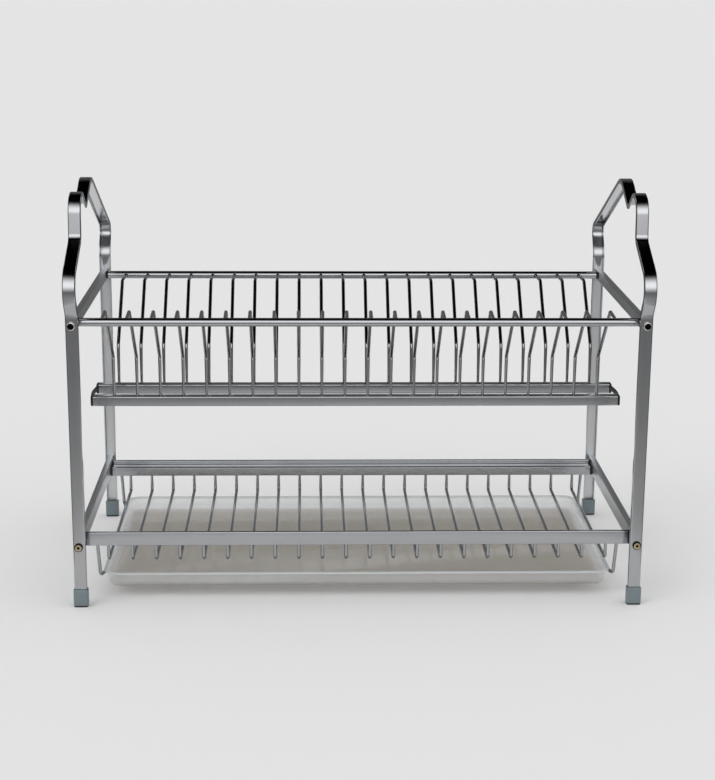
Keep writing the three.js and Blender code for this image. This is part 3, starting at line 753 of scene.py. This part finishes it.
for end in ENDS:
    node = f"lower_{ENDS[end]}_rail"
    low, high = box(node)
    middle_y, depth = (low.y + high.y) / 2, high.y - low.y
    section = lower_rail_section(end, depth)
    hollow_z = low.z + RAIL_WALL + HOLLOW_HEIGHT / 2
    hollow = block(depth - 2 * RAIL_WALL, HOLLOW_HEIGHT, HOLLOW_ROUND)
    core = straight(hollow, "X", low.x - OVERSHOOT, high.x + OVERSHOOT, (middle_y, hollow_z))
    wire_y = end * (max(abs(wire_boxes[0][0].y), wire_boxes[0][1].y) - WIRE_RADIUS * HEX_SHARE)
    places = [(x, wire_y) for x in wire_x]
    for side in SIDES:
        hanger_x, _ = x_ends(f"tray_hanger_{SIDES[side]}", side)
        places.append((hanger_x - side * WIRE_RADIUS, middle_y))
    reach = (low.z - OVERSHOOT, low.z + RAIL_WALL + OVERSHOOT)
    holes = [straight(hole_outline, "Z", *reach, place) for place in places]
    shape = straight(section, "X", low.x, high.x, (middle_y, low.z))
    make_piece(f"rail_lower_{ENDS[end]}", [shape], [rail_metal], node,
               cuts=[[core], holes])
    spigot = block(depth - 2 * (RAIL_WALL + PLUG_GAP), HOLLOW_HEIGHT - 2 * PLUG_GAP, SPIGOT_ROUND)
    for side in SIDES:
        corner = f"{ENDS[end]}_{SIDES[side]}"
        outer_x, inner_x = x_ends(f"rail_plug_{corner}", side)
        pin_x, flange_x = outer_x - side * PIN_LENGTH, outer_x - side * FLANGE_END
        shapes = [
            straight(section, "X", *sorted((pin_x, flange_x)), (middle_y, low.z)),
            straight(spigot, "X", *sorted((flange_x, inner_x)), (middle_y, hollow_z)),
            straight(circle(PIN_RADIUS, PIN_SIDES), "X", *sorted((outer_x, pin_x)), (middle_y, hollow_z)),
        ]
        make_piece(f"plug_rail_{corner}", shapes, [black_abs], f"rail_plug_{corner}")

# %% [markdown]
# ## Plate racks
# Each plate wire leaves its tube nearly level, turns down over a tight bend, slants to the middle and
# then drops straight into the bottom bar. Front and rear wires mirror each other and make the V that
# holds a plate. All the wires are bent on one jig, so one line of corners serves for every one of them.

# %% Plate racks
BAR_WALL, BAR_ROUND = 1.3, 1.6
APEX_INSET, APEX_RISE = 58.7, 1.8
ELBOW_INSET, ELBOW_DROP, WIRE_SETBACK = 0.4, 56.35, 1.2
APEX_BEND, ELBOW_BEND = 5, 8
BAR_DEPTH, BAR_HEIGHT, BAR_MIDDLE = 10, 10.5, 25

for end in ENDS:
    node = f"{ENDS[end]}_plate_rack"
    low, high = box(node)
    tube = sum(box(f"upper_{ENDS[end]}_tube"), Vector()) / 2
    bar_top = low.z + BAR_HEIGHT
    outer = block(BAR_DEPTH, BAR_HEIGHT, BAR_ROUND)
    bore = block(BAR_DEPTH, BAR_HEIGHT, BAR_ROUND, BAR_WALL)
    bar = straight(outer, "X", low.x, high.x, (end * BAR_MIDDLE, low.z + BAR_HEIGHT / 2), bore)
    wire_y = end * (BAR_MIDDLE - WIRE_SETBACK)
    reach = (bar_top - 2 * BAR_WALL, bar_top + OVERSHOOT)
    holes = [straight(hole_outline, "Z", *reach, (x, wire_y)) for x in wire_x]
    make_piece(f"plate_bar_{ENDS[end]}", [bar], [rail_metal], node, cuts=[holes])
    shapes = []
    for x in wire_x:
        corners = [
            Vector((x, tube.y - end * WIRE_RADIUS, tube.z)),
            Vector((x, end * (LEG_FACE - APEX_INSET), tube.z + APEX_RISE)),
            Vector((x, end * (BAR_MIDDLE - ELBOW_INSET), tube.z - ELBOW_DROP)),
            Vector((x, wire_y, bar_top - BAR_WALL)),
        ]
        shapes.append(wire(corners, [APEX_BEND, ELBOW_BEND], WIRE_RADIUS))
    make_piece(f"plate_wires_{ENDS[end]}", shapes, [wire_metal], node)

# %% [markdown]
# ## End pieces of the bottom bars
# A black moulding at each end plugs both bars and holds them apart. Between its two caps runs a bowed
# link with a rounded section, which is the arch that the photograph shows beside each end of the bars.

# %% End pieces
CAP_THICKNESS, CAP_EASE, CAP_SHOULDER, CAP_ROUND = 2.2, 0.4, 0.3, 0.9
LINK_BOW, LINK_RADIUS, LINK_RISE, LINK_STEPS = 2.4, 2.6, 0.6, 24
LINK_SINK_SHARE, LINK_ROUND_SHARE = 0.55, 0.45
INSIDE = BAR_WALL + PLUG_GAP
bar_spigot = block(BAR_DEPTH - 2 * INSIDE, BAR_HEIGHT - 2 * INSIDE, SPIGOT_ROUND)
link_section = block(2 * LINK_RADIUS, LINK_RADIUS, LINK_RADIUS * LINK_ROUND_SHARE)

for side in SIDES:
    node = f"rack_end_piece_{SIDES[side]}"
    low, high = box(node)
    middle_z = (low.z + high.z) / 2
    outer_x, spigot_x = x_ends(node, side)
    inner_x = outer_x - side * CAP_THICKNESS
    cap_insets = ((CAP_EASE, inner_x), (0, inner_x + side * CAP_EASE), (0, outer_x - side * CAP_ROUND),
                  (CAP_SHOULDER, outer_x - side * CAP_SHOULDER), (CAP_ROUND, outer_x))
    shapes = []
    for end in ENDS:
        shapes.append(skin([
            [Vector((x, end * BAR_MIDDLE + p.x, middle_z + p.y))
             for p in block(BAR_DEPTH, BAR_HEIGHT, BAR_ROUND, inset)]
            for inset, x in cap_insets
        ]))
        reach = sorted((inner_x, spigot_x))
        shapes.append(straight(bar_spigot, "X", *reach, (end * BAR_MIDDLE, middle_z)))
    stations = []
    for k in range(LINK_STEPS + 1):
        share = 2 * k / LINK_STEPS - 1
        turn = share * math.pi / 2
        slope = -LINK_BOW * math.pi / 2 * math.sin(turn) / BAR_MIDDLE
        along = Vector((side * slope, 1, 0)).normalized()
        x = outer_x - side * (LINK_RADIUS * LINK_SINK_SHARE - LINK_BOW * math.cos(turn))
        stations.append((Vector((x, share * BAR_MIDDLE, middle_z + LINK_RISE)), Z, along.cross(Z)))
    shapes.append(skin(section_rings(link_section, stations)))
    make_piece(f"end_piece_{SIDES[side]}", shapes, [black_abs], node)

# %% [markdown]
# ## Lower rack wires and tray hangers
# Below, each wire is one long U whose two ends go up into the rails. The two hangers are bent from the
# same wire: down from the front rail, in under the tray's flange, along to the rear and up again.

# %% Lower wires and hangers
LOWER_BEND, HANGER_BEND = 4.5, 4
HANGER_FOOT_LEAN, HANGER_RUN_LEAN = 2, 5
HANGER_FOOT_SETBACK, HANGER_RUN_SETBACK = 1.5, 11
rail_low, rail_high = box("lower_front_rail")
rail_offset = abs(rail_low.y + rail_high.y) / 2
seat = rail_low.z + RAIL_WALL + WIRE_RADIUS

for number, (low, high) in enumerate(wire_boxes, 1):
    x = (low.x + high.x) / 2
    offset = high.y - WIRE_RADIUS * HEX_SHARE
    level = low.z + WIRE_RADIUS * HEX_SHARE
    corners = [Vector((x, y, z)) for y, z in (
        (-offset, seat), (-offset, level), (offset, level), (offset, seat))]
    shape = wire(corners, [LOWER_BEND, LOWER_BEND], WIRE_RADIUS)
    node = f"lower_wire_{number:02d}"
    make_piece(f"wire_lower_{number:02d}", [shape], [wire_metal], node)

for side in SIDES:
    node = f"tray_hanger_{SIDES[side]}"
    low, high = box(node)
    x = max(abs(low.x), abs(high.x)) - WIRE_RADIUS
    level = low.z + WIRE_RADIUS
    half = [
        (x, rail_offset, seat),
        (x, rail_offset, rail_low.z - WIRE_RADIUS),
        (x - HANGER_FOOT_LEAN, rail_offset - HANGER_FOOT_SETBACK, level),
        (x - HANGER_RUN_LEAN, rail_offset - HANGER_RUN_SETBACK, level),
    ]
    corners = [Vector((side * a, FRONT * b, c)) for a, b, c in half]
    corners += [Vector((side * a, REAR * b, c)) for a, b, c in reversed(half)]
    shape = wire(corners, [HANGER_BEND] * (len(corners) - 2), WIRE_RADIUS)
    make_piece(f"hanger_{SIDES[side]}", [shape], [wire_metal], node)

# %% [markdown]
# ## Drip tray
# The tray is a shallow moulding. Its walls lean outwards so that it leaves the mould, its bottom edge
# and corners are round, and a narrow flange runs all round the top and rests on the hangers. It is a
# closed shell of the real wall thickness, because clear plastic only looks right when light has two
# surfaces to cross.

# %% Drip tray
TRAY_WALL, TRAY_RIM, TRAY_FLANGE, TRAY_DRAFT = 1.5, 1.2, 3, 2
TRAY_CORNER, TRAY_EDGE, CORNER_STEPS = 12, 7, 7
EDGE_TURNS = [math.radians(18 * k) for k in range(6)]
FILLET_IN, FILLET_DOWN, FLANGE_EASE, MOUTH_EASE = 0.5, 0.6, 0.4, 0.5


def tray_ring(half_x, half_y, middle_y, radius, z):
    """A rounded rectangle as points at one height."""
    points = []
    for corner, (x, y) in enumerate(((1, 1), (-1, 1), (-1, -1), (1, -1))):
        for i in range(CORNER_STEPS + 1):
            angle = (corner + i / CORNER_STEPS) * math.pi / 2
            points.append(Vector((
                x * (half_x - radius) + radius * math.cos(angle),
                y * (half_y - radius) + radius * math.sin(angle) + middle_y, z,
            )))
    return points


def tray_edge(inset, floor):
    """The (inset, height) of each ring on the round between the floor and the wall."""
    return [(inset + TRAY_EDGE * (1 - math.sin(t)), floor + TRAY_EDGE * (1 - math.cos(t)))
            for t in EDGE_TURNS]


def tray_shape():
    """The tray's shell: outside from the floor up, over the flange, and down the inside."""
    low, high = box("drip_tray")
    middle_y = (low.y + high.y) / 2
    wall_x, wall_y = high.x - TRAY_FLANGE, high.y - middle_y - TRAY_FLANGE
    top, rim = high.z, high.z - TRAY_RIM
    levels = tray_edge(TRAY_DRAFT, low.z) + [
        (FILLET_IN, rim - FILLET_DOWN), (0, rim),
        (-TRAY_FLANGE + FLANGE_EASE, rim), (-TRAY_FLANGE, rim + FLANGE_EASE),
        (-TRAY_FLANGE, top - FLANGE_EASE), (-TRAY_FLANGE + FLANGE_EASE, top),
        (TRAY_WALL - MOUTH_EASE, top), (TRAY_WALL, top - MOUTH_EASE),
    ] + tray_edge(TRAY_DRAFT + TRAY_WALL, low.z + TRAY_WALL)[::-1]
    return skin([tray_ring(wall_x - inset, wall_y - inset, middle_y, TRAY_CORNER - inset, z)
                 for inset, z in levels])


make_piece("tray", [tray_shape()], [tray_plastic], "drip_tray", body="tray")

# %% [markdown]
# ## Screws
# A pan-head screw holds each rail end to its leg. The head is a low dome with a rolled edge and a cross
# recess. The thread is out of sight in the rail, so the shank is left plain.

# %% A screw
HEAD_RADIUS, HEAD_HEIGHT, HEAD_EASE, HEAD_FLAT, HEAD_CROWN = 4.2, 2.2, 0.15, 1.4, 0.15
HEAD_ROLL, HEAD_STEPS, HEAD_SIDES = 1.3, 8, 32
SHANK_LENGTH, TIP_LENGTH, TIP_TAPER = 12, 1, 0.6
RECESS_WIDTH, RECESS_LENGTH, RECESS_DEPTH, RECESS_TAPER = 0.9, 3.6, 1.3, 0.55


def screw_body():
    """A screw along Z with its head up and the head's underside at zero."""
    profile = [(0, -SHANK_LENGTH), (SCREW_SHANK - TIP_TAPER, -SHANK_LENGTH),
               (SCREW_SHANK, -SHANK_LENGTH + TIP_LENGTH), (SCREW_SHANK, 0),
               (HEAD_RADIUS - HEAD_EASE, 0), (HEAD_RADIUS, HEAD_EASE)]
    for k in range(HEAD_STEPS + 1):
        turn = math.pi / 2 * k / HEAD_STEPS
        profile.append((HEAD_RADIUS - HEAD_ROLL + HEAD_ROLL * math.cos(turn),
                        HEAD_HEIGHT - HEAD_CROWN - HEAD_ROLL + HEAD_ROLL * math.sin(turn)))
    return turned(profile + [(HEAD_FLAT, HEAD_HEIGHT), (0, HEAD_HEIGHT)], HEAD_SIDES)


def recess_arm(width, length):
    """One arm of the cross recess, narrower at its bottom."""
    corners = rectangle(width, length)
    deep = [Vector((x * RECESS_TAPER, y * RECESS_TAPER, HEAD_HEIGHT - RECESS_DEPTH)) for x, y in corners]
    wide = [Vector((x, y, HEAD_HEIGHT + OVERSHOOT)) for x, y in corners]
    return skin([deep, wide])


screw_model = to_object("screw", [screw_body()])
carve(screw_model, [recess_arm(RECESS_LENGTH, RECESS_WIDTH)])
carve(screw_model, [recess_arm(RECESS_WIDTH, RECESS_LENGTH)])
finish_edges(screw_model)
print("screw:", len(screw_model.data.polygons), "faces")

# %% [markdown]
# The colour of a head changes in rings, so each face takes its metal from its distance to the axis: the
# upper heads' bright outer ring is a painted highlight. The eight screws are copies of one, and each has
# stopped at its own angle, as screws do.

# %% The eight screws
ZONE_RADII = (1.9, 3.2)
ZONE_METALS = {
    "upper": (screw_steel, screw_steel, rim_highlight_steel),
    "lower": (screw_steel, bronze_steel, screw_steel),
}
SPIN_X, SPIN_Z = 17, 31

for polygon in screw_model.data.polygons:
    distance = polygon.center.xy.length / MM
    polygon.material_index = sum(distance > radius for radius in ZONE_RADII) if polygon.center.z > 0 else 0

for side in SIDES:
    for node, row, end, place in screw_places(side):
        screw = add_object(f"pan_{node}", screw_model.data.copy())
        upright = Matrix.Rotation(math.radians(-90 * end), 4, "X")
        spin = Matrix.Rotation(math.radians(SPIN_X * place.x + SPIN_Z * place.z) % math.pi, 4, "Z")
        seated = Matrix.Translation((place + Y * end * HOLE_GAP) * MM)
        screw.data.transform(seated @ upright @ spin)
        enrol(screw, ZONE_METALS[row], node)
bpy.data.objects.remove(screw_model)
print("pieces:", len(pieces), "faces:", sum(len(p.data.polygons) for p in pieces))

# %% [markdown]
# ## Floor
# The drainer stands on a wide pale sweep of paper. The paper is dull, so it mirrors nothing and only
# keeps a soft shadow.

# %% Floor
PALE = "#E4E4E4"
FLOOR_HALF = 40
SQUARE = ((-1, -1), (1, -1), (1, 1), (-1, 1))


def stage_mesh(name, vertices, faces, material):
    """A mesh in metres that belongs to the studio and not to the drainer."""
    mesh = bpy.data.meshes.new(name)
    mesh.from_pydata(vertices, [], faces)
    mesh.materials.append(material)
    thing = add_object(name, mesh)
    return thing


paper, _, _ = new_material(
    "paper_pale", {"Base Color": linear(PALE), "Roughness": 1.0, "Specular IOR Level": 0.0},
)
stage_mesh("floor", [(x * FLOOR_HALF, y * FLOOR_HALF, 0) for x, y in SQUARE], [(0, 1, 2, 3)], paper)
print("floor:", 2 * FLOOR_HALF, "m wide")

# %% [markdown]
# ## What the metal mirrors
# Bright metal needs something to mirror. In the studio that was the pale table near the drainer and a
# room beyond it, bright high up behind the camera and dark on the other sides. A graded room and table
# stand round the paper here, and only mirrored rays meet them, so they light nothing. Levels are pairs of
# a height or a distance in metres and the brightness there. The table's share follows the heading, from 0
# at the front over 1 at either side to 2 at the rear: it is lighter again towards the rear corners.

# %% Glowing pieces of the studio
LEVEL_PEAK = 2.0


def mirrored(name, vertices, faces, material):
    """A studio piece that only mirrored rays meet."""
    thing = stage_mesh(name, vertices, faces, material)
    for ray in ("camera", "diffuse", "transmission", "volume_scatter", "shadow"):
        setattr(thing, f"visible_{ray}", False)


def glow(name, level=1.0):
    """An emitting material for studio pieces, with its tree and the socket of its strength."""
    material = bpy.data.materials.new(name)
    material.use_nodes = True
    tree = material.node_tree
    tree.nodes.remove(tree.nodes["Principled BSDF"])
    light = add_node(tree, "ShaderNodeEmission", None, {"Strength": level})
    tree.links.new(light.outputs["Emission"], tree.nodes["Material Output"].inputs["Surface"])
    return material, tree, light.inputs["Strength"]


def level_ramp(tree, distance, levels):
    """Brightness that follows a list of (distance, level), whose first distance is zero."""
    reach = levels[-1][0]
    node = add_node(tree, "ShaderNodeValToRGB", None, {"Fac": calculate(tree, "DIVIDE", distance, reach)})
    stops = node.color_ramp.elements
    stops[0].position, stops[1].position = 0, 1
    for at, _ in levels[1:-1]:
        stops.new(at / reach)
    for stop, (_, level) in zip(stops, levels):
        stop.color = (level / LEVEL_PEAK,) * 3 + (1,)
    return calculate(tree, "MULTIPLY", node.outputs["Color"], LEVEL_PEAK)


print("the brightest level of a ramp:", LEVEL_PEAK)
# %% The room
ROOM_RADIUS, ROOM_SIDES = 2.3, 64
FRONT_LEVELS = ((0, 0.23), (0.3, 0.62), (0.6, 1.15), (0.9, 1.7), (1.3, 1.8), (1.9, 1.5), (2.75, 0.8),
                (3.9, 0.2), (5.5, 0.0))
BACK_LEVELS = ((0, 0.2), (0.3, 0.2), (0.6, 0.15), (0.9, 0.13), (1.7, 0.12), (2.6, 0.05), (3.6, 0.0))
SIDE_LEVELS = ((0, 0.07), (0.6, 0.1), (1.5, 0.06), (2.6, 0.0))
FRONT_FROM, FRONT_TO, BACK_FROM, BACK_TO = -0.92, -0.5, 0.55, 0.9
ROOM_HEIGHT = FRONT_LEVELS[-1][0]

room_glow, tree, strength = glow("studio_walls")
place = add_node(tree, "ShaderNodeSeparateXYZ", None, {0: object_place(tree)})
ahead = between(tree, place.outputs["Y"], 1.0, 0.0, FRONT_FROM * ROOM_RADIUS, FRONT_TO * ROOM_RADIUS)
behind = between(tree, place.outputs["Y"], 0.0, 1.0, BACK_FROM * ROOM_RADIUS, BACK_TO * ROOM_RADIUS)
front_level, back_level, side_level = [
    level_ramp(tree, place.outputs["Z"], levels) for levels in (FRONT_LEVELS, BACK_LEVELS, SIDE_LEVELS)
]
mixed = add_node(tree, "ShaderNodeMix", None, {0: behind, 2: side_level, 3: back_level}).outputs[0]
mixed = add_node(tree, "ShaderNodeMix", None, {0: ahead, 2: mixed, 3: front_level}).outputs[0]
tree.links.new(mixed, strength)

room_ring = circle(ROOM_RADIUS, ROOM_SIDES)
room_vertices = [(p.x, p.y, z) for z in (0, ROOM_HEIGHT) for p in room_ring]
band = [(i, (i + 1) % ROOM_SIDES, (i + 1) % ROOM_SIDES + ROOM_SIDES, i + ROOM_SIDES)
        for i in range(ROOM_SIDES)]
mirrored("room", room_vertices, band + [tuple(range(ROOM_SIDES, 2 * ROOM_SIDES))], room_glow)
print("room:", 2 * ROOM_RADIUS, "m wide,", ROOM_HEIGHT, "m high")

# %% The table and the shade under the drainer
TABLE_RADIUS, TABLE_RISE = 0.42, 0.001
TABLE_LEVELS = ((0, 0.77), (0.42, 0.77), (0.54, 0.5), (0.73, 0.39), (0.95, 0.31), (1.35, 0.25), (2.3, 0.23))
TABLE_SHARES = ((0, 1.0), (0.15, 1.0), (0.65, 0.38), (1.4, 0.38), (1.6, 1.9), (1.93, 1.9), (1.985, 0.3),
                (2, 0.3))
SHADE_LEVEL, SHADE_HALF_X, SHADE_HALF_Y, SHADE_RISE = 0.22, 0.245, 0.125, 0.0015

table_glow, tree, strength = glow("table_beyond_the_paper")
place = object_place(tree)
distance = add_node(tree, "ShaderNodeVectorMath", {"operation": "LENGTH"}, {0: place}).outputs["Value"]
depth = add_node(tree, "ShaderNodeSeparateXYZ", None, {0: place}).outputs["Y"]
heading = between(tree, calculate(tree, "DIVIDE", depth, distance), 0.0, 2.0, -1.0, 1.0)
share = level_ramp(tree, heading, TABLE_SHARES)
tree.links.new(calculate(tree, "MULTIPLY", level_ramp(tree, distance, TABLE_LEVELS), share), strength)
table_vertices = [(p.x, p.y, TABLE_RISE) for p in circle(TABLE_RADIUS, ROOM_SIDES) + room_ring]
mirrored("table", table_vertices, band, table_glow)

corners = [(x * SHADE_HALF_X, y * SHADE_HALF_Y, SHADE_RISE) for x, y in SQUARE]
mirrored("shade", corners, [(0, 1, 2, 3)], glow("shade_under_the_drainer", SHADE_LEVEL)[0])
print("table: from", TABLE_RADIUS, "to", ROOM_RADIUS, "m")

# %% [markdown]
# Four small softboxes stand at the sides and behind. They put the thin bright lines on edges and bends
# that tell the eye how sharp a corner is.

# %% Softboxes
SOFTBOXES = {
    "softbox_left": ((-1.75, -0.1, 0.95), 0.16, 2.4),
    "softbox_right": ((1.75, -0.1, 0.95), 0.16, 2.4),
    "softbox_rear_left": ((-1.2, 1.3, 0.9), 0.22, 2.0),
    "softbox_rear_right": ((1.2, 1.3, 0.9), 0.22, 2.0),
}

for name, (place, half, level) in SOFTBOXES.items():
    place = Vector(place)
    across = place.cross(Z).normalized()
    up = across.cross(place).normalized()
    corners = [place + across * x * half + up * y * half for x, y in SQUARE]
    mirrored(name, corners, [(0, 1, 2, 3)], glow(name, level)[0])
print("softboxes:", len(SOFTBOXES))

# %% [markdown]
# ## Lamps and sky
# Two broad suns and an even sky give a level at which a colour renders as it is written. The camera and
# mirrored rays see the paper's own colour instead of the sky, so the sweep has no horizon.

# %% Lamps and sky
SKY_LEVEL = 0.76
SUNS = {"key": (-35, -30, 0.66, 40), "fill": (40, -10, 0.36, 60)}

for name, (lean_x, lean_y, level, softness) in SUNS.items():
    sun = add_object(name, bpy.data.lights.new(name, "SUN"))
    sun.data.energy = level
    sun.data.angle = math.radians(softness)
    toward = Vector((math.tan(math.radians(lean_x)), math.tan(math.radians(lean_y)), 1))
    sun.rotation_mode = "QUATERNION"
    sun.rotation_quaternion = toward.to_track_quat("Z", "Y")
    sun.visible_glossy = False

world = bpy.data.worlds.new("studio")
bpy.context.scene.world = world
world.use_nodes = True
tree = world.node_tree
tree.nodes.clear()
rays = add_node(tree, "ShaderNodeLightPath")
seen = rays.outputs["Is Camera Ray"]
for kind in ("Is Glossy Ray", "Is Transmission Ray"):
    seen = calculate(tree, "MAXIMUM", seen, rays.outputs[kind])
sky = add_node(tree, "ShaderNodeBackground", None, {"Color": linear("#FFFFFF"), "Strength": SKY_LEVEL})
backdrop = add_node(tree, "ShaderNodeBackground", None, {"Color": linear(PALE), "Strength": 1.0})
both = add_node(tree, "ShaderNodeMixShader", None,
                {0: seen, 1: sky.outputs["Background"], 2: backdrop.outputs["Background"]})
add_node(tree, "ShaderNodeOutputWorld", None, {"Surface": both.outputs["Shader"]})
print("suns:", len(SUNS), "sky level:", SKY_LEVEL)
